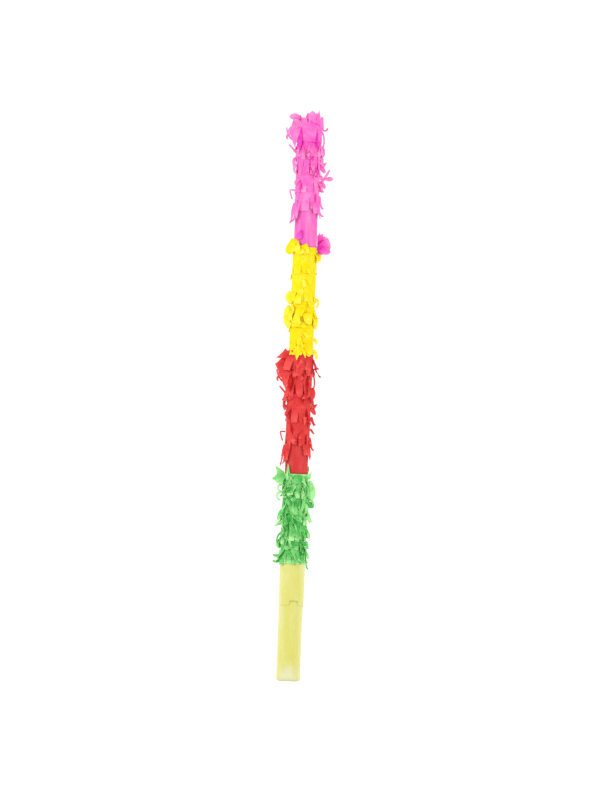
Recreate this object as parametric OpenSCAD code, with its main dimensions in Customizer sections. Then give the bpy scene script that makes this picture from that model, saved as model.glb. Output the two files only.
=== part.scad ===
// Party stick: a wooden dowel rolled in tissue paper, with rows of slit fringe in four colours
// above a smooth pale yellow handle. Heights in this file are counted from the butt end.

/* [Stick] */
// Length from the butt face to the tip face, folded paper included
stick_len = 500; // [470:1:560]
// Diameter of the wooden dowel inside
dowel_d = 19; // [18:0.5:20]
// Thickness of the paper folded over each end of the dowel
fold_t = 0.6; // [0.4:0.1:0.8]

/* [Handle] */
// Thickness of the paper rolled round the handle
handle_t = 1.4; // [1.2:0.1:1.6]
// Length of the handle that shows below the green fringe
handle_len = 104; // [95:1:110]
// Height at which the last, outer turn of handle paper starts
outer_turn_z = 68; // [50:1:80]
// Height by which that outer turn stands proud of the grip
outer_turn_rise = 0.4; // [0.2:0.1:0.6]
// Rounding of the folded edge at the butt
butt_round = 2; // [1:0.5:2]

/* [Bands] */
// Length of the green band
green_len = 80; // [70:1:90]
// Length of the red band
red_len = 104; // [95:1:110]
// Length of the yellow band
yellow_len = 97; // [90:1:105]
// Length of plain red tissue below the red fringe
red_plain_len = 24; // [10:1:30]
// Length of plain pink tissue below the pink fringe
pink_plain_len = 32; // [10:1:36]
// Thickness of the plain tissue rolled on the dowel under the fringe
base_t = 0.7; // [0.5:0.1:0.9]

/* [Fringe] */
// Rows of fringe in each band
row_count = 4; // [3:1:5]
// Thickness of a fringe strip with its crumpled flaps
strip_t = 0.9; // [0.6:0.1:1.2]
// Length by which the hem of a row hangs over the row below
hem_lap = 7; // [5:1:8]
// Flaps in a green row
green_flaps = 14; // [10:1:18]
// Flaps in a row of another colour
wide_flaps = 9; // [7:1:12]
// Width of the slits between the flaps
slit_w = 0.8; // [0.5:0.1:1.5]
// Length of the crown of upright flaps below the tip face
crown_len = 22; // [16:1:26]
// Height of the crown above the tip face
crown_rise = 7; // [4:1:10]

/* [Hidden] */
$fn = 96;
TUFT_FN = 48;

dowel_r = dowel_d / 2;
base_r = dowel_r + base_t;
strip_r = base_r + strip_t; // outside of a strip, where it lies on the plain tissue
grip_r = dowel_r + handle_t;
outer_turn_r = grip_r + outer_turn_rise;
turn_seat = 0.3; // the outer turn presses the paper under it this much inwards

BANDS = ["green", "red", "yellow", "pink"];
BAND_COLOURS = [[0.42, 0.8, 0.42], [0.87, 0.25, 0.26], [0.98, 0.88, 0.1], [1, 0.49, 0.8]];
HANDLE_COLOUR = [0.93, 0.9, 0.52];
crown_z = stick_len - crown_len;
red_z = handle_len + green_len;
yellow_z = red_z + red_len;
pink_z = yellow_z + yellow_len;
base_z = [handle_len + hem_lap, red_z, yellow_z + hem_lap, pink_z, stick_len]; // ends of the plain tissue
fringe_z = [handle_len, red_z + red_plain_len, yellow_z, pink_z + pink_plain_len]; // lowest hems
fringe_top = [red_z, yellow_z, pink_z, crown_z];

// The plain cylinder between the butt rounding and the outer turn is the grip, and its middle
// is the stick's origin.
grip_z = (butt_round + outer_turn_z) / 2;

margin = 5; // uncut, glued margin of a strip
crown_slit_z = stick_len - 12; // where the slits of the crown begin
slit_depth = 4; // radial size of a slit cutter, more than a strip and its hem
row_twist = 0.38; // turn from one row's slits to the next, in flaps

// Tufts: loose strip ends that stand out at the left, the front and the right of the stick
leaf_t = 2;
green_leaf = [[-8, -9], [-8, 3], [-18, 7], [-17, 0], [-21, -4], [-14, -6]]; // x, z from red_z
red_leaf = [[-8, -10], [-8, -2], [-15, 0], [-19, -5], [-13, -5]]; // x, z from yellow_z
yellow_puff = [-9.2, -7.2, -1]; // x, y, z from pink_z
yellow_puff_r = 5;
pink_puff = [16.4, 0, 2]; // x, y, z from pink_z
pink_puff_r = 6.4;

// Height of the hem's lower end in a row. Bands and rows are counted from 0, from the butt up.
function row_z(band, row) =
    fringe_z[band] + row * (fringe_top[band] - fringe_z[band]) / row_count;

// Moves a piece from heights counted from the butt to the stick's origin.
module on_stick() {
    translate([0, 0, -grip_z]) children();
}

// A plain sleeve between two radii and two heights.
module sleeve(r0, r1, z0, z1) {
    rotate_extrude() translate([r0, z0]) square([r1 - r0, z1 - z0]);
}

// Cutters for the slits of a row with this many flaps, turned by twist flaps.
module slits(count, twist, z0, z1) {
    for (i = [0:count - 1])
        rotate([0, 0, (i + twist) * 360 / count])
            translate([base_r - slit_depth / 4, -slit_w / 2, z0])
                cube([slit_depth, slit_w, z1 - z0]);
}

// The body of the stick that a tuft lies against. Its seam is at the back, away from the tufts.
module stick_body() {
    rotate([0, 0, 90]) cylinder(h = stick_len, r = strip_r);
}

// The wooden dowel, bare, between the two folded ends of paper.
module core_dowel() {
    color("burlywood") on_stick()
        translate([0, 0, fold_t]) cylinder(h = stick_len - 2 * fold_t, r = dowel_r);
}

// Pale yellow paper rolled round the handle and folded over the butt.
module handle_paper() {
    top = handle_len + hem_lap;
    color(HANDLE_COLOUR) on_stick() rotate_extrude() difference() {
        union() {
            square([grip_r - butt_round, top]);
            translate([grip_r - butt_round, butt_round]) circle(r = butt_round);
            translate([0, butt_round]) square([grip_r - turn_seat, top - butt_round]);
            translate([0, butt_round]) square([grip_r, outer_turn_z - butt_round]);
        }
        translate([0, fold_t]) square([dowel_r, top]);
    }
}

// The last turn of that paper, which starts half-way up the handle and runs under the fringe.
module handle_outer_turn() {
    color(HANDLE_COLOUR) on_stick()
        sleeve(grip_r - turn_seat, outer_turn_r, outer_turn_z, handle_len + hem_lap);
}

// Plain tissue of a band, rolled on the dowel. The pink one is folded over the tip.
module base_paper(band) {
    is_top = band == len(BANDS) - 1;
    color(BAND_COLOURS[band]) on_stick() {
        sleeve(dowel_r, base_r, base_z[band], base_z[band + 1] - (is_top ? fold_t : 0));
        if (is_top) translate([0, 0, stick_len - fold_t]) cylinder(h = fold_t, r = base_r);
    }
}

// One row of fringe. Its hem hangs over the row below, the handle or plain tissue, and its glued
// margin runs up under the next hem, if there is one directly above.
module fringe_row(band, row) {
    on_plain = row == 0 && fringe_z[band] > base_z[band];
    on_handle = row == 0 && band == 0;
    under_hem = row < row_count - 1 || fringe_top[band] == fringe_z[band + 1];
    bed_r = on_handle ? outer_turn_r : on_plain ? base_r : strip_r;
    hem_z = row_z(band, row);
    step_z = hem_z + hem_lap;
    top_z = row_z(band, row + 1) + (under_hem ? hem_lap : 0);
    color(BAND_COLOURS[band]) on_stick() difference() {
        union() {
            sleeve(bed_r, bed_r + strip_t, hem_z, step_z + strip_t);
            sleeve(base_r, strip_r, step_z, top_z);
            sleeve(base_r, bed_r + strip_t, step_z, step_z + strip_t);
        }
        slits(band == 0 ? green_flaps : wide_flaps, row * row_twist, hem_z - 1, top_z - margin);
    }
}

// The row at the tip, with its flaps standing up past the end of the stick.
module pink_crown_fringe() {
    color(BAND_COLOURS[3]) on_stick() difference() {
        sleeve(base_r, strip_r, crown_z, stick_len + crown_rise);
        slits(wide_flaps, row_count * row_twist, crown_slit_z, stick_len + crown_rise + 1);
    }
}

// Torn leaf of tissue that stands out to the left, from an outline of [x, height].
module leaf(outline, z) {
    difference() {
        translate([0, leaf_t / 2, z]) rotate([90, 0, 0]) linear_extrude(leaf_t) polygon(outline);
        stick_body();
    }
}

// Crumpled ball of tissue that lies against the stick, its centre counted from height z. Its
// pole points at the stick.
module puff(centre, r, z) {
    difference() {
        translate(centre + [0, 0, z]) rotate([0, 90, atan2(centre[1], centre[0])])
            sphere(r = r, $fn = TUFT_FN);
        stick_body();
    }
}

module green_end_tuft() {
    color(BAND_COLOURS[0]) on_stick() leaf(green_leaf, red_z);
}

module red_end_tuft() {
    color(BAND_COLOURS[1]) on_stick() leaf(red_leaf, yellow_z);
}

module yellow_end_tuft() {
    color(BAND_COLOURS[2]) on_stick() puff(yellow_puff, yellow_puff_r, pink_z);
}

module pink_end_tuft() {
    color(BAND_COLOURS[3]) on_stick() puff(pink_puff, pink_puff_r, pink_z);
}

core_dowel();
handle_paper();
handle_outer_turn();
for (band = [0:len(BANDS) - 1]) {
    base_paper(band);
    for (row = [0:row_count - 1])
        fringe_row(band, row);
}
pink_crown_fringe();
green_end_tuft();
red_end_tuft();
yellow_end_tuft();
pink_end_tuft();
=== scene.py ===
"""A party stick rolled in tissue paper, with slit fringe in four colours over a plain handle."""

import math
import random
from collections import namedtuple

import bmesh
import bpy
from mathutils import Matrix, Vector, noise


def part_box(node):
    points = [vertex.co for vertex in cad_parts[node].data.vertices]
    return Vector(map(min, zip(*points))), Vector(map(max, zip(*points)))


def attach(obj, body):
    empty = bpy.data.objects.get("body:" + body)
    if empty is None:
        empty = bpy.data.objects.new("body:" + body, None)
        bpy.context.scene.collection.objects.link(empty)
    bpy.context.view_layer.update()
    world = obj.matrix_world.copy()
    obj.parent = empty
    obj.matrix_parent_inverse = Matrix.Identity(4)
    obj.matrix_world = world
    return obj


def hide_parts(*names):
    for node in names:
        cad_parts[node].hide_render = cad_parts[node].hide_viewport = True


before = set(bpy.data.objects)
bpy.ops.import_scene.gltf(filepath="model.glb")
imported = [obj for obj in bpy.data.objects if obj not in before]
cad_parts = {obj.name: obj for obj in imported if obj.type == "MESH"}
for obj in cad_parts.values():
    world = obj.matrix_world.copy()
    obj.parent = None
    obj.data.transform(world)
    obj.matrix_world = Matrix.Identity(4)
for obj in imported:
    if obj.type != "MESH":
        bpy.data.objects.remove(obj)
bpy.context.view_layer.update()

# ---- sizes, in metres and degrees

MM = 0.001
AXIS = Vector((0, 0, 1))
DOWN, UP = -1, 1

BANDS = ("green", "red", "yellow", "pink")
# Thickness of a sheet of tissue, and the step from one turn or ply of it to the next
PAPER = 0.12 * MM
PLY_GAP = 0.25 * MM
# How far a hem or a loose flap, and the crown, lie off the plain tissue
HEM_LIFT = 0.5 * MM
CROWN_LIFT = 0.7 * MM
# Length at the top of a strip that is glued and never slit
MARGIN = 5 * MM
# Height of a mesh row in the fringe and in the plain rolls
FRINGE_STEP = 0.85 * MM
ROLL_STEP = 1.6 * MM
# How often the fibre pattern repeats round the stick and along it, in each metre
FIBRES_AROUND, FIBRES_ALONG = 40, 12


def radius_of(node):
    """Outside radius of a round node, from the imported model."""
    low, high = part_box(node)
    return (high.x - low.x) / 2


BUTT_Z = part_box("handle_paper")[0].z
TIP_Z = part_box("pink_base_paper")[1].z
BASE_R = radius_of("pink_base_paper")
GRIP_R = radius_of("handle_paper")
TURN_R = radius_of("handle_outer_turn")


def height(millimetres):
    """Height in the frame of a point that lies this far above the butt."""
    return BUTT_Z + millimetres * MM


# ---- materials


def linear(red, green, blue):
    """A colour given in display values from 0 to 255, as the shader's linear colour."""
    def channel(value):
        value /= 255
        return value / 12.92 if value <= 0.04045 else ((value + 0.055) / 1.055) ** 2.4
    return channel(red), channel(green), channel(blue), 1.0


def shader(name):
    """An empty node material, with short ways to add and join its shader nodes."""
    material = bpy.data.materials.new(name)
    material.use_nodes = True
    tree = material.node_tree
    tree.nodes.clear()

    def add(kind, operation=None, **sockets):
        node = tree.nodes.new("ShaderNode" + kind)
        if operation:
            node.operation = operation
        for socket, value in sockets.items():
            node.inputs[socket.replace("_", " ")].default_value = value
        return node

    def join(source, output, target, socket):
        tree.links.new(source.outputs[output], target.inputs[socket])

    return material, add, join


def tissue_patterns(add, join, stretched):
    """The patterns of a tissue: its mottle, its fibres, its creases and its fine wrinkles. A
    stretched mottle is drawn out along the stick."""
    place = add("TexCoord")
    mottle = add("TexNoise", Scale=110.0, Detail=6.0, Roughness=0.7)
    if stretched:
        stretch = add("Mapping", Scale=(1.0, 1.0, 0.3))
        join(place, "Object", stretch, "Vector")
        join(stretch, "Vector", mottle, "Vector")
    else:
        join(place, "Object", mottle, "Vector")

    sheet = add("UVMap")
    sheet.uv_map = "sheet"
    fibres = add("TexNoise", Scale=26.0, Detail=5.0, Roughness=0.7, Distortion=0.6)
    join(sheet, "UV", fibres, "Vector")

    # The creases are bent by a broad noise, so that they don't lie in a regular net.
    swirl = add("TexNoise", Scale=150.0, Detail=3.0)
    bent = add("VectorMath", "MULTIPLY_ADD")
    bent.inputs[1].default_value = (7 * MM, 7 * MM, 7 * MM)
    creases = add("TexVoronoi", Scale=190.0, Randomness=1.0)
    creases.feature = "DISTANCE_TO_EDGE"
    join(place, "Object", swirl, "Vector")
    join(swirl, "Color", bent, 0)
    join(place, "Object", bent, 2)
    join(bent, "Vector", creases, "Vector")

    wrinkles = add("TexNoise", Scale=420.0, Detail=3.0, Roughness=0.6, Distortion=1.2)
    join(place, "Object", wrinkles, "Vector")
    return mottle, fibres, creases, wrinkles


def tissue_colour(add, join, dye_and_shade_colours, bright, mottle, fibres, creases):
    """A tissue's dye, paler or deeper by the tone of the mesh, which carries painted shade and
    light as well as the tissue's own tone, and by its mottle, and rubbed pale along some of its
    creases."""
    mid, pale, deep = dye_and_shade_colours
    patches = add("MapRange", From_Min=0.3, From_Max=0.7, To_Min=-0.45, To_Max=0.45)
    join(mottle, "Fac", patches, "Value")
    rubbed = add("MapRange", From_Min=0.0, From_Max=0.08, To_Min=0.35, To_Max=0.0)
    join(creases, "Distance", rubbed, "Value")
    worn_here = add("MapRange", From_Min=0.42, From_Max=0.62)
    join(mottle, "Fac", worn_here, "Value")
    marks = add("Math", "MULTIPLY_ADD")
    join(rubbed, "Result", marks, 0)
    join(worn_here, "Result", marks, 1)
    join(patches, "Result", marks, 2)
    # The mesh's tone: the tissue's own tone with painted shade and painted light.
    tone = add("Attribute")
    tone.attribute_name = "tone"
    shade = add("Math", "ADD")
    join(marks, "Value", shade, 0)
    join(tone, "Fac", shade, 1)
    spread = add("MapRange", From_Min=-1.0, From_Max=1.0)
    join(shade, "Value", spread, "Value")
    dye = add("ValToRGB")
    dye.color_ramp.elements[0].color = linear(*deep)
    middle = dye.color_ramp.elements.new(0.5)
    middle.color = linear(*mid)
    dye.color_ramp.elements[-1].color = linear(*pale)
    join(spread, "Result", dye, "Fac")

    grain = add("MapRange", From_Min=0.3, From_Max=0.7, To_Min=0.93 * bright,
                To_Max=1.04 * bright)
    join(fibres, "Fac", grain, "Value")
    colour = add("VectorMath", "SCALE")
    join(dye, "Color", colour, 0)
    join(grain, "Result", colour, "Scale")
    return colour


def tissue_relief(add, join, crease, creases, wrinkles):
    """A tissue's creases and fine wrinkles as a bump."""
    fold = add("MapRange", From_Min=0.0, From_Max=0.12, To_Min=0.0, To_Max=1.0)
    join(creases, "Distance", fold, "Value")
    relief = add("Math", "MULTIPLY_ADD")
    relief.inputs[1].default_value = 0.45
    join(fold, "Result", relief, 0)
    join(wrinkles, "Fac", relief, 2)
    bump = add("Bump", Strength=crease, Distance=0.4 * MM)
    join(relief, "Value", bump, "Height")
    return bump


def tissue_material(name, dye_and_shade_colours, glow, bright, crease, sheen=0.3):
    """Thin dyed tissue. Glow is the share of light that comes through it, for tissue with nothing
    behind it, bright scales its dye, crease is how strongly its creases stand up, and sheen is how
    much its fibres catch the light."""
    material, add, join = shader(name)
    mottle, fibres, creases, wrinkles = tissue_patterns(add, join, stretched=not glow)
    colour = tissue_colour(add, join, dye_and_shade_colours, bright, mottle, fibres, creases)
    bump = tissue_relief(add, join, crease, creases, wrinkles)
    paper = add("BsdfPrincipled", Roughness=0.82)
    paper.inputs["Specular IOR Level"].default_value = 0.1
    paper.inputs["Sheen Tint"].default_value = linear(*dye_and_shade_colours.pale)
    paper.inputs["Sheen Weight"].default_value = sheen
    paper.inputs["Sheen Roughness"].default_value = 0.4
    output = add("OutputMaterial")
    join(colour, "Vector", paper, "Base Color")
    join(bump, "Normal", paper, "Normal")
    if not glow:
        join(paper, "BSDF", output, "Surface")
        return material
    through = add("BsdfTranslucent")
    both = add("MixShader", Fac=glow)
    join(colour, "Vector", through, "Color")
    join(bump, "Normal", through, "Normal")
    join(paper, "BSDF", both, 1)
    join(through, "BSDF", both, 2)
    join(both, "Shader", output, "Surface")
    return material


def wood_material():
    """Pale turned softwood, with its grain along the stick."""
    material, add, join = shader("dowel wood")
    place = add("TexCoord")
    stretch = add("Mapping", Scale=(1.0, 1.0, 0.06))
    grain = add("TexNoise", Scale=340.0, Detail=6.0, Roughness=0.6, Distortion=0.8)
    rings = add("TexWave", Scale=90.0, Distortion=3.0, Detail=2.0)
    rings.wave_type = "RINGS"
    rings.rings_direction = "Z"
    join(place, "Object", stretch, "Vector")
    join(stretch, "Vector", grain, "Vector")
    join(stretch, "Vector", rings, "Vector")
    both = add("Mix", A=0.5, B=0.5)
    both.inputs[0].default_value = 0.4
    join(grain, "Fac", both, 2)
    join(rings, "Fac", both, 3)
    tone = add("ValToRGB")
    tone.color_ramp.elements[0].color = linear(178, 138, 92)
    tone.color_ramp.elements[-1].color = linear(226, 196, 150)
    join(both, 0, tone, "Fac")
    bump = add("Bump", Strength=0.3, Distance=0.1 * MM)
    join(grain, "Fac", bump, "Height")
    wood = add("BsdfPrincipled", Roughness=0.7)
    output = add("OutputMaterial")
    join(tone, "Color", wood, "Base Color")
    join(bump, "Normal", wood, "Normal")
    join(wood, "BSDF", output, "Surface")
    return material


# The middle, pale and deep colour of each tissue: the deep colour also paints shade, and the pale
# one paints light
Dyes = namedtuple("Dyes", "mid pale deep")
DYES_AND_SHADES = {
    "green": Dyes((108, 214, 110), (190, 246, 172), (34, 170, 58)),
    "red": Dyes((227, 66, 66), (255, 106, 100), (204, 8, 18)),
    "yellow": Dyes((255, 230, 18), (255, 244, 92), (252, 218, 2)),
    "pink": Dyes((254, 121, 203), (255, 166, 218), (240, 54, 196)),
    "handle": Dyes((233, 230, 134), (240, 237, 190), (229, 225, 108)),
}
# The brightness of a band's rolled tissue and of its fringe, and the light through its fringe
Light = namedtuple("Light", "rolled fringe glow")
LIGHT = {
    "green": Light(0.67, 0.94, 0.4),
    "red": Light(0.63, 0.94, 0.34),
    "yellow": Light(0.66, 0.98, 0.36),
    "pink": Light(0.65, 0.97, 0.32),
}
ROLLED = {
    band: tissue_material(band + " rolled tissue", DYES_AND_SHADES[band], glow=0, bright=LIGHT[band].rolled,
                          crease=0.6)
    for band in BANDS
}
ROLLED["handle"] = tissue_material(
    "handle rolled tissue", DYES_AND_SHADES["handle"], glow=0, bright=0.65, crease=0.25, sheen=0.9)
FRINGE = {
    band: tissue_material(band + " fringe tissue", DYES_AND_SHADES[band], glow=LIGHT[band].glow,
                          bright=LIGHT[band].fringe, crease=0.5)
    for band in BANDS
}

# ---- tissue, as flat sheets


def creased(across, along, size, seed):
    """Sharp-ridged noise over a sheet's own coordinates, with broad ridges of a size and finer ones
    between them, about -0.6 to 0.4."""
    broad = abs(noise.noise(Vector((across / size, along / size, seed))))
    fine = abs(noise.noise(Vector((1.9 * across / size, 1.9 * along / size, seed + 40))))
    return 0.3 - broad + 0.35 * (0.3 - fine)


def streaks(angle, z, seed):
    """Long soft ridges that run along a rolled sheet, about -1 to 1."""
    around = Vector((math.cos(angle), math.sin(angle), 0)) * 2.2
    return noise.noise(around + Vector((seed, seed, z / (40 * MM))))


def between(low, high, share):
    """The value that lies a share of the way from low to high, held to that range."""
    return low + (high - low) * min(1.0, max(0.0, share))


def bend(path, share):
    """The angle at a share of a flap's length, eased between the path's (share, angle) pairs."""
    for (start, before), (end, after) in zip(path, path[1:]):
        if share <= end:
            t = (share - start) / (end - start)
            return before + (after - before) * t * t * (3 - 2 * t)
    return path[-1][1]


# Widths along a flap from its root, 0, to its tip, 1, as shares of its full width
SHAPES = {
    "cut": lambda s: 1.0,
    "torn": lambda s: 1.0 - 0.22 * s * s,
    "pointed": lambda s: max(0.06, 1.0 - s ** 1.4),
    "round": lambda s: max(0.12, math.sqrt(max(0.0, 1.0 - (max(0.0, s - 0.45) / 0.55) ** 2))),
    "leaf": lambda s: 0.18 + 0.82 * math.sin(math.pi * min(1.0, s) ** 1.5),
    "petal": lambda s: max(0.2, (0.45 + 1.1 * s) * math.sqrt(max(0.0, 1.0 - s ** 5))),
}

# A flap of tissue. Its angle round the stick is 180 at the left, 270 at the front and 0 at the
# right. Height is its root's, above the butt, and the path gives how far it turns away from the
# stick along its length: 0 lies along the stick, 90 stands straight out, and more turns back. Roll
# turns the whole flap about its own length: 0 faces outwards, and 90 faces the front. Twist turns
# it further towards its tip, and lean slants it round the stick. Reach is how far its root stands
# off the plain tissue. Pale is the tone of its root, from -1, the deepest colour, to 1, the palest,
# partly the flap's own tone and partly painted shade and light, and fade is how much paler its tip
# is, a painted highlight. Lengths are in millimetres and angles in degrees.
Flap = namedtuple(
    "Flap", "angle height length width path way shape lean twist roll crumple pale fade reach",
    defaults=(DOWN, "torn", 0, 0, 0, 0.35, 0.0, 0.6, 0.7))


def spine(piece, root_r, steps, loose):
    """Places down the middle of a flap: each a point, and its across and outward ways. A loose
    flap leans from its root, and one that is part of a strip leans further down."""
    turn = math.radians(piece.angle)
    out = Vector((math.cos(turn), math.sin(turn), 0))
    side = Vector((-math.sin(turn), math.cos(turn), 0))
    to_front = 1 if out.x < 0 else -1
    point = out * root_r + AXIS * height(piece.height)
    places = []
    for i in range(steps + 1):
        share = i / steps
        away = math.radians(bend(piece.path, share))
        sway = math.tan(math.radians(piece.lean)) * (1 if loose else min(1, 2.5 * share))
        along = out * math.sin(away) + AXIS * (piece.way * math.cos(away)) + side * sway
        along.normalize()
        across = (side - along * side.dot(along)).normalized()
        turned = math.radians(piece.roll * piece.way * to_front + piece.twist * share)
        across = Matrix.Rotation(turned, 3, along) @ across
        places.append((point.copy(), across, along.cross(across) * -piece.way))
        point += along * (piece.length * MM / steps)
    return places


def lying_on(low, hem_r, lap):
    """How far out tissue lies at a height: at hem_r where its hem laps over, and further in above
    that."""
    return lambda z: between(BASE_R + 2 * PAPER, hem_r, (low + lap - z) / (4 * MM))


def kept_off(point, bed_r):
    """The point, moved out to at least bed_r from the stick's axis if it is below the tip."""
    reach = math.hypot(point.x, point.y)
    if point.z > TIP_Z or reach >= bed_r or reach < 1e-6:
        return point
    return Vector((point.x * bed_r / reach, point.y * bed_r / reach, point.z))


class Sheet:
    """A bmesh of tissue that keeps each vertex's place on the flat sheet as a UV, and its tone."""

    def __init__(self, name, seed):
        self.name = name
        self.mesh = bmesh.new()
        self.tone = self.mesh.verts.layers.float.new("tone")
        self.flat_x = self.mesh.verts.layers.float.new("flat_x")
        self.flat_y = self.mesh.verts.layers.float.new("flat_y")
        self.seed = seed
        self.area = 0.0

    def grid(self, columns, rows):
        """A new flat grid, with whole-number coordinates and its first row on top."""
        made = bmesh.ops.create_grid(
            self.mesh, x_segments=columns, y_segments=rows, size=0.5, matrix=Matrix.Identity(4))
        for vertex in made["verts"]:
            vertex.co.x = round((vertex.co.x + 0.5) * columns)
            vertex.co.y = round((0.5 - vertex.co.y) * rows)
        return made["verts"]

    def put(self, vertex, point, across, along, tone):
        """Moves a vertex to its point, and keeps its place on the flat sheet and its tone."""
        vertex.co = point
        vertex[self.flat_x] = across
        vertex[self.flat_y] = along
        vertex[self.tone] = tone

    def finish(self, material, node, slot, flat, held, rests_on, area=None):
        """Turns the bmesh into a piece with a paper's thickness that stands for a node."""
        bmesh.ops.remove_doubles(self.mesh, verts=self.mesh.verts, dist=0.004 * MM)
        bmesh.ops.recalc_face_normals(self.mesh, faces=self.mesh.faces)
        uv = self.mesh.loops.layers.uv.new("sheet")
        for face in self.mesh.faces:
            face.smooth = True
            for loop in face.loops:
                loop[uv].uv = (loop.vert[self.flat_x] * FIBRES_AROUND,
                               loop.vert[self.flat_y] * FIBRES_ALONG)
        data = bpy.data.meshes.new(self.name)
        self.mesh.to_mesh(data)
        self.mesh.free()
        piece = bpy.data.objects.new(self.name, data)
        bpy.context.scene.collection.objects.link(piece)
        piece.data.materials.append(material)
        wall = piece.modifiers.new("paper", "SOLIDIFY")
        wall.thickness = PAPER
        wall.offset = 0
        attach(piece, "root")
        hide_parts(node)
        return piece


def add_flap(sheet, piece, bed=None):
    """Adds one separate flap, rooted on the stick, to a sheet's mesh. It lies on the plain tissue,
    or where it is further out on a bed, given as a radius by height."""
    columns = max(3, round(piece.width))
    steps = max(6, round(piece.length * MM / FRINGE_STEP))
    places = spine(piece, BASE_R + piece.reach * MM, steps, True)
    sheet.seed += 3.7
    for vertex in sheet.grid(columns, steps):
        column, row = round(vertex.co.x), round(vertex.co.y)
        share = row / steps
        point, across, outward = places[row]
        width = piece.width * MM * SHAPES[piece.shape](share)
        x = (column / columns - 0.5) * width
        y = share * piece.length * MM
        dent = creased(x, y, 4.2 * MM, sheet.seed) * piece.crumple * MM * (0.6 + 0.9 * share)
        cup = -0.5 * x * x / (BASE_R * (1 + 2 * share))
        point = point + across * x + outward * (dent + cup)
        clear = max(BASE_R + HEM_LIFT, bed(point.z) if bed else 0)
        sheet.put(vertex, kept_off(point, clear), x, y, piece.pale + piece.fade * share * share)
    mean_width = sum(SHAPES[piece.shape](i / steps) for i in range(steps + 1)) / (steps + 1)
    sheet.area += piece.length * piece.width * mean_width * MM * MM


# ---- rows of fringe

# The ways that a row's own flaps lie, each a path to its tip
PRESSED = ((0, 1), (0.7, 2), (1, 4))
RAISED = ((0, 6), (0.5, 14), (1, 34))
TURNED_IN = ((0, 14), (0.5, 18), (1, -30))
BOWED = ((0, 24), (0.5, 0), (1, -24))
HOOKED = ((0, 8), (0.5, 22), (0.78, 95), (1, 175))
CURLED = ((0, 40), (0.35, 30), (0.6, -10), (1, -80))
FLAT_BIT = ((0, 24), (0.5, 10), (1, 4))

SMOOTH_WAYS = ((PRESSED, 9), (RAISED, 1))
MIXED_WAYS = ((PRESSED, 7), (RAISED, 2), (BOWED, 1), (TURNED_IN, 1))
MESSY_WAYS = ((PRESSED, 4), (RAISED, 3), (BOWED, 3), (TURNED_IN, 2), (HOOKED, 1))

# Where slits begin, as shares of the way from the uncut margin to the hem
LONG_SLITS = (0, 0, 0.1, 0.25, 0.4)
SHORT_SLITS = (0, 0.2, 0.35, 0.5, 0.6)
FEW_SLITS = (0.3, 0.5, 0.7, 0.85)

# How a row looks: its flaps, plies and crumple in millimetres, the weights of the ways that its
# flaps lie, where its slits begin, the share of a flap's width lost at a slit, how far its flaps
# lean in degrees, its loose bits, and how much paler the hem of its inner ply is: painted light.
Row = namedtuple("Row", "flaps plies crumple ways slits gap lean bits hem")
NEAT = Row(11, 1, 0.9, SMOOTH_WAYS, SHORT_SLITS, 0.03, 5, 6, 0.4)
RUFFLED = Row(11, 1, 1.1, MIXED_WAYS, LONG_SLITS, 0.05, 9, 9, 0.4)
TANGLED = Row(11, 2, 1.3, MESSY_WAYS, LONG_SLITS, 0.08, 14, 12, 0.0)
SHREDDED = Row(16, 2, 1.5, MESSY_WAYS, LONG_SLITS, 0.1, 28, 50, 1.2)
SMOOTH = Row(8, 1, 0.7, SMOOTH_WAYS, FEW_SLITS, 0.0, 2, 1, 0.4)

# The rows of each band, from the lowest up
ROW_STYLES = {
    "green": (SHREDDED, SHREDDED, SHREDDED, SHREDDED),
    "red": (NEAT, NEAT, RUFFLED, TANGLED),
    "yellow": (
        NEAT._replace(flaps=12, lean=8),
        RUFFLED._replace(gap=0.0, lean=14, bits=16),
        SMOOTH._replace(crumple=0.8, bits=5),
        SMOOTH,
    ),
    "pink": (NEAT, NEAT, RUFFLED, TANGLED),
}


def painted_slit_shade(angle, height, length, width, lean=0, crumple=0.4):
    """A narrow leaf in the deepest colour, a dark sheet laid where a slit between two flaps would
    show shade: painted shade.
    """
    return Flap(angle, height, length, width, ((0, 2), (1, 2)), shape="leaf", pale=-1.2, fade=0.0,
                crumple=crumple, lean=lean, reach=1.3)


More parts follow.
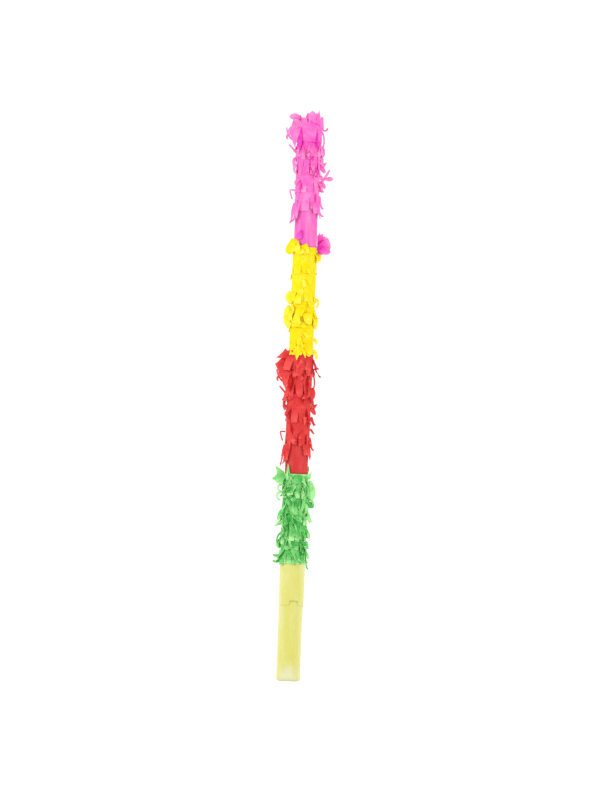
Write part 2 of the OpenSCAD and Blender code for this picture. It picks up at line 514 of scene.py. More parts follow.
# The flaps that are placed one by one: those that stand out at the left and the right of the
# stick, and the ones that show best at its front. The red band has the same ones as the pink band,
# lower by DROP, and then each has some of its own.
DROP = 214.5
SHARED = (
    # left, from the top down
    Flap(207, 496, 24, 13, ((0, 26), (0.3, 16), (0.6, 0), (1, -14)), shape="pointed", roll=44,
         crumple=1.1, pale=0.1),
    Flap(192, 492, 11, 8, ((0, 60), (0.4, 44), (1, 0)), roll=66, shape="round", crumple=0.8,
         pale=0.3),
    # A wide leaf in the deepest colour, painted shade where a slit shows.
    Flap(228, 491, 20, 4.5, ((0, 4), (1, 3)), shape="leaf", pale=-1, fade=0.2, crumple=0.5,
         reach=1.3),
    painted_slit_shade(307, 490, 18, 2.2),
    painted_slit_shade(287, 468, 7, 1.6, crumple=0.3),
    painted_slit_shade(309, 457, 11, 2.4, lean=5),
    painted_slit_shade(234, 444, 9, 1.6, lean=12),
    painted_slit_shade(312, 434, 9, 1.5, crumple=0.3),
    # strips that hang below the lowest hem
    Flap(198, 424, 19, 4.5, ((0, 8), (0.7, 8), (1, 30)), crumple=1.2, reach=1.2, lean=-4),
    Flap(214, 425, 21, 4.5, ((0, 6), (0.6, 3), (0.8, 40), (1, 120)), crumple=1, reach=1.4),
    Flap(231, 424, 14, 4, ((0, 5), (0.6, 3), (1, 12)), crumple=1, reach=1.4, lean=-8),
    Flap(306, 425, 10, 5, ((0, 5), (0.6, 3), (1, 6)), crumple=1, reach=1.3, lean=6),
    Flap(322, 425, 15, 5, ((0, 5), (0.6, 3), (1, 12)), crumple=1, reach=1.3, shape="pointed",
         lean=12),
    Flap(343, 424, 13, 4, ((0, 8), (0.6, 3), (1, 16)), crumple=1, reach=1.2),
    Flap(186, 480, 12, 1.7, ((0, 40), (1, 8)), way=UP, shape="cut", roll=55, crumple=0.2, reach=5.5,
         pale=0.3),
    Flap(184, 487, 10, 2.6, ((0, 70), (0.5, 40), (1, -60)), shape="round", roll=55, reach=4.5),
    Flap(182, 468.5, 10, 2, ((0, 44), (1, 42)), way=UP, roll=60, crumple=0.2),
    Flap(181, 464, 10, 3.4, ((0, 60), (0.4, 0), (1, -30)), roll=50, crumple=0.6),
    Flap(188, 459, 5, 4, ((0, 50), (0.4, 10), (1, -20)), roll=30, crumple=0.6),
    Flap(180, 435.5, 13, 2, ((0, 92), (0.28, 90), (0.36, -14), (1, -22)), shape="cut", roll=38,
         crumple=0.1),
    Flap(182, 424, 11, 4.2, ((0, 16), (0.6, 10), (1, 0)), roll=32),
    Flap(180, 414.5, 8, 3.4, ((0, 30), (1, 42)), shape="round", roll=55),
    # right, from the top down
    Flap(0, 488, 15, 2.2, ((0, 30), (0.4, 6), (1, -16)), shape="cut", roll=38, crumple=0.2),
    Flap(358, 475, 11, 5.5, ((0, 26), (0.5, 2), (1, -30)), shape="round", roll=45, crumple=0.6),
    Flap(354, 466, 9, 4.5, ((0, 22), (0.5, 6), (1, 20)), roll=35),
    Flap(0, 457, 7, 5.5, ((0, 60), (1, 45)), way=UP, shape="pointed", roll=78, crumple=0.5),
    Flap(356, 458, 8, 4.5, ((0, 30), (1, 36)), shape="round", roll=60),
    Flap(355, 449, 9, 4.5, ((0, 28), (0.6, 18), (1, 0)), shape="pointed", roll=50),
    Flap(1, 438.5, 6, 2.6, ((0, 50), (0.5, 30), (1, 80)), shape="round", roll=45),
    Flap(359, 431, 9, 3, ((0, 14), (0.5, 8), (1, 20)), roll=35),
    Flap(1, 425, 7, 2.4, ((0, 40), (0.5, 20), (1, 80)), shape="cut", roll=45, crumple=0.2),
    Flap(359, 418, 7, 2.2, ((0, 24), (0.5, 30), (1, 110)), shape="cut", roll=45, crumple=0.2),
)
STANDING_OUT = {
    "pink": SHARED + (
        Flap(214, 496.5, 13, 6, ((0, 30), (0.35, 74), (1, 112)), way=UP, shape="round", roll=74,
             crumple=0.9, pale=0.2),
        Flap(218, 491, 12, 7, ((0, 20), (0.5, 60), (1, 84)), way=UP, shape="pointed", roll=60,
             crumple=0.8, pale=0.2),
        Flap(357, 501, 17, 2.4, ((0, 3), (0.6, 6), (0.76, 100), (1, 190)), shape="cut", roll=42,
             crumple=0.2),
        Flap(2, 441, 16, 2.6, ((0, 34), (1, 28)), way=UP, roll=62, crumple=0.3, pale=0.3),
        Flap(0, 445.5, 9, 4.4, ((0, 104), (1, 84)), shape="leaf", roll=74, crumple=0.3, reach=3.6,
             pale=0.3),
        Flap(354, 444, 8, 5, ((0, 36), (1, 46)), shape="round", roll=62, crumple=0.6),
    ),
    "red": tuple(piece._replace(height=piece.height - DROP) for piece in SHARED) + (
        Flap(357, 291, 9, 3, ((0, 20), (0.4, 8), (1, 60)), roll=45, crumple=0.6),
        Flap(1, 284, 9, 3, ((0, 40), (0.5, 20), (1, 100)), roll=45),
        Flap(356, 234, 8, 3, ((0, 34), (0.6, 26), (1, 90)), roll=45),
    ),
    "yellow": (
        Flap(252, 297, 12.5, 5.5, ((0, 3), (1, 6)), shape="pointed"),
        Flap(264, 297, 12, 6, ((0, 3), (1, 8)), shape="pointed", lean=-10),
        Flap(283, 297, 10.5, 6, ((0, 4), (1, 8)), shape="pointed", lean=8),
        Flap(304, 298, 10, 7, ((0, 4), (1, 6)), shape="round", lean=4),
        Flap(0, 294, 9, 4, ((0, 48), (0.6, 10), (1, -14)), roll=50, pale=0.4),
        Flap(1, 304, 6, 4, ((0, 60), (0.5, 20), (1, -30)), shape="round", roll=50, pale=0.4),
        Flap(358, 320, 8, 4.5, ((0, 40), (0.4, 8), (1, -40)), roll=36, crumple=0.9, pale=0.3),
        Flap(340, 325, 10, 7, ((0, 35), (0.5, 5), (1, -40)), roll=20, crumple=1.1),
        Flap(188, 332, 10, 7, ((0, 60), (0.4, 24), (1, -60)), roll=40, crumple=1.2, pale=0.3),
        Flap(182, 328, 10, 6, ((0, 56), (0.4, 26), (1, -50)), roll=56, crumple=1.2, pale=0.5),
        Flap(197, 325, 11, 8, ((0, 44), (0.4, 22), (1, -50)), roll=32, crumple=1.2, pale=0.1),
        Flap(184, 321, 9, 6, ((0, 56), (0.5, 20), (1, -60)), shape="pointed", roll=52, crumple=1,
             pale=0.5),
        Flap(206, 320, 8, 6, ((0, 40), (0.5, 10), (1, -50)), shape="round", roll=20, crumple=1),
        Flap(214, 329, 11, 8, ((0, 40), (0.5, 5), (1, -40)), crumple=1.2),
        Flap(238, 326, 11, 8, ((0, 36), (0.5, 5), (1, -40)), lean=20, crumple=1.2),
        Flap(262, 331, 10, 8, ((0, 34), (0.5, 5), (1, -30)), lean=-14, crumple=1.2),
        Flap(288, 327, 11, 8, ((0, 36), (0.5, 5), (1, -40)), lean=10, crumple=1.2),
        Flap(0, 340, 10, 2.8, ((0, 65), (0.5, 0), (1, -70)), shape="cut", roll=42, crumple=0.3),
        Flap(188, 345, 9, 6, ((0, 50), (0.45, 20), (1, -60)), roll=42, crumple=1.1, pale=0.3),
        Flap(204, 343, 9, 7, ((0, 36), (0.45, 10), (1, -50)), roll=24, crumple=1.1),
        Flap(220, 345, 9, 7, ((0, 30), (0.5, 5), (1, -40)), crumple=0.8),
        Flap(246, 343, 9, 8, ((0, 24), (0.5, 5), (1, -30)), crumple=1),
        Flap(0, 381, 9, 6, ((0, 40), (0.5, 12), (1, -50)), shape="round", roll=40, crumple=0.9),
        Flap(340, 379, 8, 6, ((0, 30), (0.5, 10), (1, -40)), crumple=0.9),
    ),
    "green": (
        Flap(178, 112, 7, 3.6, ((0, 60), (0.6, 90), (1, 160)), roll=45),
        Flap(182, 107, 7, 3.6, ((0, 60), (0.6, 90), (1, 150)), roll=45),
        Flap(358, 110, 11, 2, ((0, 10), (0.75, 14), (1, 80)), shape="cut", roll=45, crumple=0.1),
        Flap(2, 115, 7, 3.6, ((0, 40), (0.5, 20), (1, 50)), roll=50, pale=0.5, crumple=0.8),
        Flap(181, 132, 17, 2, ((0, 50), (0.4, 10), (0.7, -15), (1, -70)), shape="cut", roll=40),
        Flap(183, 126, 9, 3.4, ((0, 50), (0.5, 20), (1, -50)), roll=45),
        Flap(179, 141, 8, 5, ((0, 60), (1, 50)), shape="pointed", roll=65, pale=0.4),
        Flap(1, 134, 8, 4.5, ((0, 36), (0.5, 18), (1, 40)), roll=46, pale=0.5, crumple=0.9),
        Flap(358, 124, 8, 4, ((0, 34), (0.5, 14), (1, 60)), shape="pointed", roll=46, pale=0.5,
             crumple=0.9),
        Flap(183, 152, 10, 5, ((0, 28), (0.6, 20), (1, -30)), roll=40),
        Flap(1, 162, 12, 2.8, ((0, 80), (0.35, 50), (0.6, 0), (1, -120)), roll=46, pale=0.5),
        Flap(356, 160, 8, 6, ((0, 46), (1, 40)), shape="leaf", roll=60, pale=-0.5),
        Flap(358, 149, 9, 5, ((0, 38), (0.5, 16), (1, 40)), roll=46, pale=0.6, crumple=0.9),
        Flap(180, 174, 11, 2.4, ((0, 88), (0.3, 60), (0.55, -5), (1, -100)), roll=44, pale=0.8,
             crumple=0.5),
        Flap(183, 168, 13, 2.4, ((0, 78), (0.35, 50), (0.6, -15), (1, -95)), roll=44, pale=0.8,
             crumple=0.5),
        Flap(0, 177, 18, 7, ((0, 50), (0.3, 18), (1, -16)), shape="round", roll=52, crumple=0.8,
             pale=0.5),
        Flap(350, 180, 7, 6, ((0, 24), (1, 30)), way=UP, shape="pointed", roll=40, pale=0.5),
    ),
}


def pick(weights, chance):
    """One of the ways, by weight."""
    spot = chance.random() * sum(weight for _, weight in weights)
    for way, weight in weights:
        spot -= weight
        if spot <= 0:
            return way
    return weights[-1][0]


def flap_edges(count, chance):
    """Angles in degrees where a row's flaps begin and end, a little over once round the stick."""
    widths = [chance.uniform(0.6, 1.4) for _ in range(count)]
    scale = (360 + 14) / sum(widths)
    edges = [chance.uniform(0, 360)]
    for width in widths:
        edges.append(edges[-1] + width * scale)
    return edges


def at_a_side(angle, nearness):
    """Whether an angle is near the left or the right of the stick, where nearness would be 1."""
    return abs(math.cos(math.radians(angle))) > nearness


def above_butt(z):
    """The height of a place in the frame above the butt, in millimetres."""
    return (z - BUTT_Z) / MM


def slit_grid(sheet, columns, rows, per_flap, starts):
    """A new flat grid with so many columns per flap, slit between its flaps from the rows given in
    starts down to its hem. Gives its vertices, and the number of the flap that each belongs to."""
    members = set(sheet.grid(columns, rows))
    others = set(sheet.mesh.verts) - members
    slits = [
        edge for edge in sheet.mesh.edges
        if edge.verts[0] in members
        and edge.verts[0].co.x == edge.verts[1].co.x
        and 0 < edge.verts[0].co.x < columns
        and edge.verts[0].co.x % per_flap == 0
        and min(edge.verts[0].co.y, edge.verts[1].co.y)
        >= starts[round(edge.verts[0].co.x / per_flap)]
    ]
    bmesh.ops.split_edges(sheet.mesh, edges=slits)
    vertices = [vertex for vertex in sheet.mesh.verts if vertex not in others]
    last = columns // per_flap - 1
    owners = [
        min(last, int(vertex.link_faces[0].calc_center_median().x / per_flap))
        for vertex in vertices
    ]
    return vertices, owners


# The share of its crumple that tissue keeps where it is held down
HELD_CRUMPLE = 0.35
# The painted tones at the top of a row: painted shade where the next hem shades it, and painted
# light where it ends openly
SHADED, OPEN = -0.6, 0.8
OPEN_ROWS = ("green_fringe_4", "yellow_fringe_4")
# The seed of the first row's random flaps, and how far apart the rows lie in the crease noise
FIRST_SEED = 300
CREASES_APART = 7.0


def strip(sheet, low, high, edges, starts, pieces, root_r, bed, gap, way, top_tone=SHADED):
    """A strip rolled round the stick and slit into flaps. starts has the row of its grid where
    each slit begins, the pieces say how the flaps lie below both of their slits' starts, and bed
    gives how far out they lie by height. Its tone runs from top_tone at its top to plain."""
    per_flap = 7 if len(pieces) < 12 else 5
    rows = round((high - low) / FRINGE_STEP)
    columns = len(pieces) * per_flap
    vertices, owners = slit_grid(sheet, columns, rows, per_flap, starts)
    hinges = [max(pair) for pair in zip(starts, starts[1:])]
    spines = [spine(piece, root_r, rows - hinge, False) for piece, hinge in zip(pieces, hinges)]
    toned = 7 * MM if top_tone == SHADED else 2.5 * MM
    sheet.seed += 11.3
    for vertex, which in zip(vertices, owners):
        column, row = round(vertex.co.x), round(vertex.co.y)
        piece, hinge = pieces[which], hinges[which]
        share = column / per_flap - which
        span = math.radians(edges[which + 1] - edges[which])
        angle = math.radians(edges[which]) + span * share
        y = row * (high - low) / rows
        z = high - y if way == DOWN else low + y
        around = angle * BASE_R
        dent = creased(around, y, 4 * MM, sheet.seed) * piece.crumple * MM
        spiral = PLY_GAP * column / columns
        tone = between(top_tone, 0.0, y / toned)
        if row <= hinge:
            r = root_r + spiral + HELD_CRUMPLE * dent
            point = Vector((r * math.cos(angle), r * math.sin(angle), z))
            sheet.put(vertex, kept_off(point, BASE_R + PAPER), around, y, tone)
            continue
        down = (row - hinge) / (rows - hinge)
        spot, across, outward = spines[which][row - hinge]
        shrink = (1 - gap * min(1, 3 * down)) * SHAPES[piece.shape](down)
        x = (share - 0.5) * span * root_r * shrink
        # A flap is curved round the stick, and flatter the further it is lifted off.
        lifted = min(1.0, abs(bend(piece.path, down)) / 30)
        ring = root_r * (1 + 2.5 * down * lifted)
        rise = dent * (HELD_CRUMPLE + down) + spiral
        point = (spot + across * ring * math.sin(x / ring)
                 - outward * ring * (1 - math.cos(x / ring)) + outward * rise)
        tone += piece.pale * min(1, 3 * down) + piece.fade * down ** 3
        sheet.put(vertex, kept_off(point, bed(point.z)), around, y, tone)
    sheet.area += math.radians(edges[-1] - edges[0]) * BASE_R * (high - low)


def fringe_ply(sheet, low, high, style, root_r, bed, chance, loose, top_tone):
    """One ply of a row: a strip whose flaps each lie their own way. Loose is 1 where it lies on
    top, and 0 where another ply holds it down."""
    rows = round((high - low) / FRINGE_STEP)
    first = max(2, round(min(MARGIN, 0.3 * (high - low)) / FRINGE_STEP))
    edges = flap_edges(style.flaps, chance)
    lean = style.lean * loose
    starts = [first + round((rows - first - 3) * chance.choice(style.slits)) for _ in edges]
    pieces = []
    for start, end, before, after in zip(edges, edges[1:], starts, starts[1:]):
        angle = (start + end) / 2
        left = (rows - max(before, after)) * (high - low) / rows
        weights = SMOOTH_WAYS if at_a_side(angle, 0.82) or loose < 1 else style.ways
        strength = chance.uniform(0.4, 1.5)
        reach = chance.uniform(between(1.0, 0.8, loose), between(1.0, 1.04, loose))
        pieces.append(Flap(
            angle, above_butt(low + left), left / MM * reach, 0,
            tuple((share, turned * strength) for share, turned in pick(weights, chance)),
            shape=chance.choice(("cut", "torn", "torn", "round")) if loose == 1 else "cut",
            lean=chance.uniform(-lean, lean), twist=chance.uniform(-2, 2) * lean,
            crumple=style.crumple * chance.uniform(0.7, 1.2), pale=chance.uniform(-0.3, 0.4),
            fade=between(style.hem, 0.4, loose)))
    strip(sheet, low, high, edges, starts, pieces, root_r, bed, style.gap * loose, DOWN, top_tone)


def loose_bits(style, low, high, chance):
    """Bits torn part free of a row, all round but for the left and the right of the stick. Two in
    three lie flat, and the others hook, curl or bow."""
    pieces = []
    while len(pieces) < style.bits:
        angle = chance.uniform(0, 360)
        if at_a_side(angle, 0.93):
            continue
        if chance.random() < 0.65:
            pieces.append(Flap(
                angle, chance.uniform(low + 4, high - 1), chance.uniform(4.5, 9),
                chance.uniform(3, 5.5), FLAT_BIT, shape=chance.choice(("leaf", "torn", "pointed")),
                lean=chance.uniform(-60, 60), roll=chance.uniform(-25, 25),
                crumple=style.crumple, pale=chance.uniform(-0.5, 0.6), reach=0.9))
        else:
            pieces.append(Flap(
                angle, chance.uniform(low + 0.4 * (high - low), high - 1), chance.uniform(7, 12),
                chance.uniform(1.8, 4), pick(((HOOKED, 3), (CURLED, 4), (BOWED, 3)), chance),
                way=UP if chance.random() < 0.15 else DOWN,
                shape=chance.choice(("cut", "pointed", "round")), lean=chance.uniform(-30, 30),
                twist=chance.uniform(-60, 60), roll=chance.uniform(-50, 50), crumple=0.4,
                pale=chance.uniform(-0.2, 0.6), reach=0.9))
    return pieces


def finish_fringe(sheet, node, band):
    """Makes a row's mesh a piece, laid on its band's plain tissue."""
    flat = (2 * math.pi * BASE_R, sheet.area / (2 * math.pi * BASE_R))
    return sheet.finish(FRINGE[band], node, band + "_tissue", flat, "draped",
                        [band + "_base_paper_roll"])


def standing_out(band, low, high):
    """The flaps placed one by one whose roots lie between two heights of a band."""
    return [piece for piece in STANDING_OUT[band] if low <= height(piece.height) < high]


def fringe_row(band, row, number, top):
    """One row of fringe: its plies, its loose bits, and the flaps that are placed one by one as far
    up as the next row's hem."""
    node = f"{band}_fringe_{row}"
    style = ROW_STYLES[band][row - 1]
    low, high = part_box(node)
    chance = random.Random(FIRST_SEED + number)
    sheet = Sheet(node + "_paper", CREASES_APART * number)
    over_handle = low.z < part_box("handle_outer_turn")[1].z
    top_tone = OPEN if node in OPEN_ROWS else SHADED
    for ply in range(style.plies):
        root_r = BASE_R + 2 * PAPER + ply * PLY_GAP
        hem_r = (TURN_R if over_handle else BASE_R + HEM_LIFT) + 2 * PAPER + ply * PLY_GAP
        bed = lying_on(low.z, hem_r, 12 * MM if over_handle else 9 * MM)
        loose = 1 if ply == style.plies - 1 else 0
        stagger = ply * 1.5 * MM
        fringe_ply(sheet, low.z + stagger, high.z - (stagger if top_tone == SHADED else 0), style,
                   root_r, bed, chance, loose, top_tone)
    bits = loose_bits(style, above_butt(low.z), above_butt(high.z), chance)
    for piece in bits + standing_out(band, low.z, top):
        add_flap(sheet, piece, bed)
    finish_fringe(sheet, node, band)


# The crown's flaps, from the left round the front to the right and then the back. Their heights
# and widths come from the strip that they are slit in.
CROWN = (
    # The flap at the left is painted deep, as painted shade.
    Flap(206, 0, 4, 0, ((0, 0), (0.5, 20), (1, 60)), pale=-0.9),
    Flap(240, 0, 4, 0, ((0, 0), (0.7, 1), (1, 8)), lean=-6, pale=0.1),
    Flap(281, 0, 10.5, 0, ((0, 0), (0.6, 1), (1, 5)), shape="round", lean=-2, pale=0.3),
    Flap(312, 0, 12, 0, ((0, 0), (0.6, 1), (1, 3)), shape="pointed", lean=3),
    Flap(338, 0, 6, 0, ((0, 0), (0.6, 2), (1, 20)), pale=0.1),
    Flap(15, 0, 6, 0, ((0, 0), (0.6, 6), (1, 40)), shape="round"),
    Flap(55, 0, 10, 0, ((0, 0), (0.6, 4), (1, -25)), shape="round", lean=10),
    Flap(95, 0, 11, 0, ((0, 0), (0.5, 6), (1, 55)), lean=-10),
    Flap(135, 0, 8, 0, ((0, 0), (0.6, 4), (1, 20)), shape="pointed", lean=6),
    Flap(170, 0, 5, 0, ((0, 2), (0.5, 12), (1, 50))),
)


def crown_fringe(number):
    """The row at the tip, with its flaps standing up past the end of the stick."""
    node = "pink_crown_fringe"
    low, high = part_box(node)
    sheet = Sheet(node + "_paper", CREASES_APART * number)
    rows = round((high.z - low.z) / FRINGE_STEP)
    start = round((TIP_Z - MARGIN - low.z) / FRINGE_STEP)
    middles = [piece.angle if piece.angle > 190 else piece.angle + 360 for piece in CROWN]
    ends = [(a + b) / 2 for a, b in zip(middles, middles[1:])]
    edges = [middles[0] - 18, *ends, middles[-1] + 18]
    pieces = [
        piece._replace(angle=middle, height=above_butt(low.z + start * (high.z - low.z) / rows),
                       way=UP, crumple=0.9)
        for piece, middle in zip(CROWN, middles)
    ]
    root_r = BASE_R + CROWN_LIFT
    bed = lying_on(low.z, root_r, 0)
    strip(sheet, low.z, high.z, edges, [start] * len(edges), pieces, root_r, bed, 0.0, UP)
    for piece in standing_out("pink", low.z, high.z):
        add_flap(sheet, piece)
    finish_fringe(sheet, node, "pink")


# ---- plain rolls of tissue

# The folded ends of the dowel: how many pleats the tissue has there, how far its edge is rounded
# over, the rows of its mesh from the edge to the middle, and how far short of the butt and the tip
# the roll begins to fold
PLEATS = 15
ROUNDING = 0.6 * MM
FOLD_ROWS = 12
BUTT_FOLD, TIP_FOLD = 1.4 * MM, 1 * MM


def pleated(r, angle, inward, fold):
    """Radius and height of tissue that is pleated over an end of the dowel, from the edge, where
    inward is 0, to the middle, where it is 1."""
    pleat = math.sin(PLEATS * angle + 2.5 * inward)
    over = min(1.0, inward * 3) * math.pi / 2
    lift = min(2 * ROUNDING * (1 - math.cos(over)), ROUNDING)
    lift += 0.64 * MM * pleat * inward * (1 - inward)
    inside = (BUTT_Z if fold == DOWN else TIP_Z) - fold * PAPER
    r = r * (1 - inward) + 0.25 * MM * pleat * math.sin(over) * (1 - inward)
    return r, inside + fold * (lift - ROUNDING)


def rolled_sheet(node, low, high, root_r, seed, wave, tone, edge=None, fold=None):
    """Tissue rolled a little over once round the stick, its seam at the back. Wave is the height of
    its ripples in millimetres, tone gives its tone by angle and height, and fold is UP or DOWN
    where the sheet is pleated over that end of the dowel. Edge gives by angle how far the end of
    the roll is drawn up and out: its end at the fold, or its lower end if it has no fold."""
    sheet = Sheet(node + "_roll", seed)
    seam, lap = 100, 24
    turn = math.radians(360 + lap)
    columns = 104
    wall_rows = round((high - low) / ROLL_STEP)
    for vertex in sheet.grid(columns, wall_rows + (FOLD_ROWS if fold else 0)):
        column, row = round(vertex.co.x), round(vertex.co.y)
        share = column / columns
        angle = math.radians(seam) + turn * share
        to_end = min(1.0, row / wall_rows)
        z = between(low, high, to_end) if fold == UP else between(high, low, to_end)
        r = root_r + (PLY_GAP + PAPER) * share
        r += wave * MM * streaks(angle, z, seed)
        r += wave * MM * creased(angle * root_r, z, 7 * MM, seed)
        if edge:
            drawn_up, drawn_out = edge(angle)
            close = between(0.0, 1.0, (to_end - 0.7) / 0.3)
            z += drawn_up * close
            r += drawn_out * close ** 3
        if row > wall_rows:
            r, z = pleated(r, angle, (row - wall_rows) / FOLD_ROWS, fold)
        # Its tone also gets soft streaks of painted shade and light along the roll.
        sheet.put(vertex, Vector((r * math.cos(angle), r * math.sin(angle), z)),
                  angle * root_r, row * ROLL_STEP,
                  tone(angle, z) + 0.3 * streaks(2 * angle, z, seed))
    flat = (turn * root_r, high - low + (root_r if fold else 0))
    area = turn * root_r * (high - low) + (math.pi * root_r ** 2 if fold else 0)
    band = node.split("_")[0]
    return sheet.finish(ROLLED[band], node, band + "_tissue", flat, "stretched",
                        ["core_dowel"], area=area)


def inside_of(angle, start, end, soft_start, soft_end):
    """1 between two angles in degrees round the stick, and down to 0 over the soft parts at its
    start and its end."""
    around = math.degrees(angle) % 360
    return between(0, 1, (around - start) / soft_start) * between(0, 1, (end - around) / soft_end)


def outer_edge(angle):
    """The torn lower edge of the handle's outer turn, as how far it is drawn up and out: it lies
    flat but for a notch at the front and its right side, where its lip stands up."""
    notch = inside_of(angle, 260, 306, 6, 6)
    right = between(0, 1, (math.degrees(angle) % 360 - 330) / 14)
    ragged = 0.6 * MM * noise.noise(Vector((angle * 3, 0, 0)))
    return (5 * notch - 1.5) * MM + ragged, (0.75 * notch + 0.45 * right - 0.6) * MM


def handle_painted_shade_tone(angle, z):
    """Tone of the handle: painted light down its sides and painted shade in a stripe down the front
    and the back, and paler near the butt at the front and the back."""
    # Painted shade in a stripe down the front and the back, with the sides left paler as painted
    # light.
    shade_stripe = math.sin(angle) ** 2
    # Paler towards the butt, at the front and the back.
    rubbed = between(1.5, 0.0, (above_butt(z) - 6) / 14) * shade_stripe ** 2
    return 0.5 - 0.9 * shade_stripe + rubbed


def slack_edge(angle):
    """The pink tissue's end at the tip, as how far it is drawn up and out: it sags and bulges a
    little at the front right, under the crown."""
    slack = inside_of(angle, 262, 338, 12, 10)
    slope = between(0.3, 1.0, (math.degrees(angle) % 360 - 262) / 60)
    ragged = 0.8 * noise.noise(Vector((angle * 5, 3, 0)))
    return (ragged - 6 * slope) * slack * MM, 1.1 * slack * MM


def shade_under_fringe(fringe_low):
    """Tone of a plain tissue by angle and height: painted shade under the fringe, whose lowest hem
    is at fringe_low, which shows in the slits between its flaps, and plain below it and over the
    tip."""
    def tone(angle, z):
        # Painted shade on the tissue that the fringe covers.
        painted_shade = between(0.0, -0.9, (z - fringe_low) / (6 * MM))
        return painted_shade * between(1.0, 0.25, (z - TIP_Z + 3 * MM) / (2 * MM))
    return tone


def plain_rolls():
    """The handle's two turns and the four plain tissues under the fringe."""
    low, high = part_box("handle_paper")
    rolled_sheet("handle_paper", low.z + BUTT_FOLD, high.z, GRIP_R - 3 * PAPER, 1.3, 0.14, handle_painted_shade_tone,
                 fold=DOWN)
    low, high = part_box("handle_outer_turn")
    rolled_sheet("handle_outer_turn", low.z, high.z, TURN_R - 2 * PAPER, 3.1, 0.16, handle_painted_shade_tone,
                 edge=outer_edge)
    for number, band in enumerate(BANDS):
        node = band + "_base_paper"
        low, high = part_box(node)
        fringe_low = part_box(band + "_fringe_1")[0].z
        at_tip = band == "pink"
        rolled_sheet(node, low.z, high.z - (TIP_FOLD if at_tip else 0), BASE_R - 3 * PAPER,
                     20.0 + number, 0.26, shade_under_fringe(fringe_low), edge=slack_edge if at_tip else None,
                     fold=UP if at_tip else None)


# ---- tufts at the ends of the strips

TUFTS = {
    "green_end_tuft": (
        Flap(188, 178, 15, 10, ((0, 26), (1, 38)), way=UP, shape="pointed", roll=70, crumple=0.8,
             pale=0.5),
        Flap(184, 184, 12.5, 10, ((0, 50), (1, 80)), shape="pointed", roll=75, crumple=0.8,
             pale=0.6),
        Flap(196, 183, 10, 9, ((0, 40), (1, 50)), shape="petal", roll=50, crumple=0.8, pale=0.3),
        Flap(232, 179, 14, 6, ((0, 5), (1, 4)), way=UP, shape="pointed", crumple=0.5, pale=0.2),
        Flap(224, 178, 9, 5, ((0, 14), (1, 12)), way=UP, shape="pointed", lean=16, crumple=0.5,
             pale=0.5),
    ),
    "red_end_tuft": (
        Flap(188, 292, 12.5, 9, ((0, 46), (0.5, 66), (1, 78)), shape="pointed", roll=72,
             crumple=0.8, pale=0.2),
        Flap(190, 285, 13, 12, ((0, 40), (0.5, 50), (1, 66)), roll=66, crumple=0.9, pale=-0.2),
        Flap(186, 281, 9.5, 7, ((0, 60), (1, 84)), shape="pointed", roll=70, crumple=0.8, pale=0.3),
        Flap(214, 288, 13, 9, ((0, 20), (0.6, 16), (1, 6)), roll=20, crumple=0.9, pale=0.3),
    ),
    "yellow_end_tuft": (
        Flap(204, 391, 13, 11, ((0, 36), (0.4, 16), (1, -40)), roll=30, shape="petal", crumple=1.6,
             pale=-0.2),
        Flap(192, 387, 9, 7, ((0, 50), (0.4, 20), (1, -60)), roll=46, crumple=1.3, pale=0.2),
        Flap(212, 392, 10, 8, ((0, 50), (0.4, 20), (1, -70)), roll=24, crumple=1.5, lean=10,
             pale=-0.1),
        Flap(228, 390, 11, 9, ((0, 34), (0.4, 15), (1, -46)), lean=8, shape="petal", crumple=1.3,
             pale=0.1),
        Flap(240, 386, 9, 8, ((0, 35), (0.4, 15), (1, -50)), lean=20, shape="petal", crumple=1.2),
        Flap(262, 387, 9, 7, ((0, 24), (0.5, 10), (1, -30)), lean=24, crumple=1),
    ),
    # The puff's flaps are deep at their roots and pale at their tips: painted shade where they
    # gather and painted light on their tips.
    "pink_end_tuft": (
        Flap(352, 387, 9.5, 7, ((0, 50), (1, 8)), roll=75, shape="petal", crumple=1.2, pale=-1,
             fade=1),
        Flap(358, 387, 11, 8, ((0, 84), (1, 66)), roll=84, shape="petal", crumple=1.3, pale=-0.6,
             fade=1.6),
        Flap(4, 386, 12, 8, ((0, 84), (1, 88)), way=UP, roll=96, shape="petal", crumple=1.3,
             pale=-0.5, fade=1.6),
        Flap(354, 386, 12, 7, ((0, 75), (1, 62)), way=UP, roll=78, shape="petal", crumple=1.3,
             pale=-0.9, fade=1.8),
        Flap(2, 387, 11.5, 7, ((0, 60), (1, 40)), way=UP, roll=92, shape="petal", crumple=1.3,
             pale=-0.5, fade=1.6),
        Flap(356, 388, 9, 6, ((0, 20), (1, 22)), way=UP, roll=66, shape="petal", crumple=1.1,
             pale=-1, fade=1),
        Flap(350, 384, 11, 9, ((0, 88), (0.6, 60), (1, 10)), roll=50, shape="petal", crumple=1.4,
             pale=-0.9, fade=1.2),
        Flap(0, 393, 6.5, 3, ((0, 20), (1, 10)), way=UP, roll=60, shape="pointed", crumple=0.4,
             pale=0.6),
        Flap(4, 390, 9, 3.4, ((0, 34), (1, 26)), way=UP, roll=70, shape="round", crumple=0.6,
             pale=0.5),
        Flap(250, 400, 9, 6, ((0, 3), (1, 3)), lean=-20, shape="leaf", crumple=0.4, pale=-1,
             fade=0.6),
    ),
}


def end_tuft(node, number):
    """A loose crumpled end of a strip that stands out from the stick."""
    sheet = Sheet(node + "_paper", 100.0 + 9.0 * number)
    for piece in TUFTS[node]:
        add_flap(sheet, piece)
    band = node.split("_")[0]
    longest = max(piece.length for piece in TUFTS[node]) * MM
    return sheet.finish(FRINGE[band], node, band + "_tissue", (sheet.area / longest, longest),
                        "gathered", [band + "_base_paper_roll"])


# ---- the stage


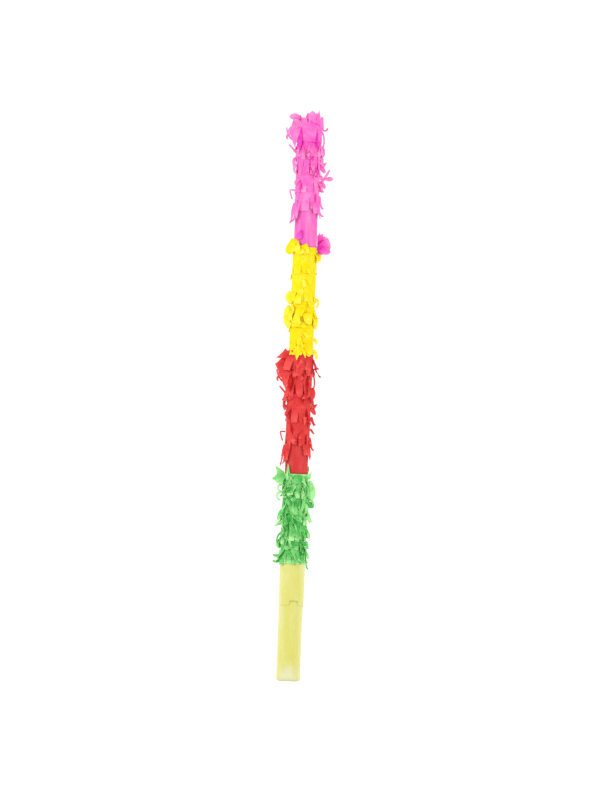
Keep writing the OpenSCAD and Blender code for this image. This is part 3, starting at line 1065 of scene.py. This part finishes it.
def stage():
    """A plain pale floor, soft studio light, and a camera level with the middle of the stick."""
    grid = bmesh.new()
    bmesh.ops.create_grid(grid, x_segments=1, y_segments=1, size=20)
    bmesh.ops.translate(grid, verts=grid.verts, vec=(0, 0, BUTT_Z))
    data = bpy.data.meshes.new("floor")
    grid.to_mesh(data)
    grid.free()
    floor = bpy.data.objects.new("floor", data)
    bpy.context.scene.collection.objects.link(floor)
    material, add, join = shader("floor")
    plain = add("BsdfDiffuse", Color=(0.6, 0.6, 0.6, 1))
    lift = add("Emission", Strength=0.5)
    both = add("AddShader")
    output = add("OutputMaterial")
    join(plain, "BSDF", both, 0)
    join(lift, "Emission", both, 1)
    join(both, "Shader", output, "Surface")
    data.materials.append(material)

    world = bpy.data.worlds.new("studio")
    world.use_nodes = True
    world.node_tree.nodes["Background"].inputs["Color"].default_value = (1, 1, 1, 1)
    world.node_tree.nodes["Background"].inputs["Strength"].default_value = 1.12
    bpy.context.scene.world = world
    bpy.context.scene.view_settings.view_transform = "Standard"

    middle = Vector((0, 0, (BUTT_Z + TIP_Z) / 2))
    for name, place, power in (("left", (-1.3, -0.7, 0.8), 13.0), ("right", (1.3, -0.6, 0.5), 8.0)):
        light = bpy.data.lights.new(name, "AREA")
        light.size = 0.6
        light.energy = power
        lamp = bpy.data.objects.new(name, light)
        lamp.location = place
        lamp.rotation_euler = (middle - lamp.location).to_track_quat("-Z", "Y").to_euler()
        bpy.context.scene.collection.objects.link(lamp)

    # The camera is turned a little, so that the stick leans, and is aimed just off its middle.
    distance = 4.0
    lens_per_metre = 50.7
    lean = math.radians(2.29)
    aside, below = 0.9 * MM, 0.5 * MM
    camera = bpy.data.objects.new("camera", bpy.data.cameras.new("camera"))
    camera.data.lens = lens_per_metre * distance
    camera.data.clip_end = 60
    place = Matrix.Translation((aside, -distance, middle.z - below))
    level = Matrix.Rotation(math.radians(90), 4, "X")
    camera.matrix_world = place @ level @ Matrix.Rotation(lean, 4, "Z")
    bpy.context.scene.collection.objects.link(camera)
    bpy.context.scene.camera = camera


# ---- the object

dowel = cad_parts["core_dowel"]
dowel.data.materials.clear()
dowel.data.materials.append(wood_material())

plain_rolls()
rows = [(band, row) for band in BANDS for row in range(1, len(ROW_STYLES[band]) + 1)]
hems = [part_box(f"{band}_fringe_{row}")[0].z for band, row in rows]
crown_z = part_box("pink_crown_fringe")[0].z
for number, ((band, row), top) in enumerate(zip(rows, hems[1:] + [crown_z])):
    fringe_row(band, row, number, top)
crown_fringe(len(rows))
for number, node in enumerate(TUFTS):
    end_tuft(node, number)
stage()
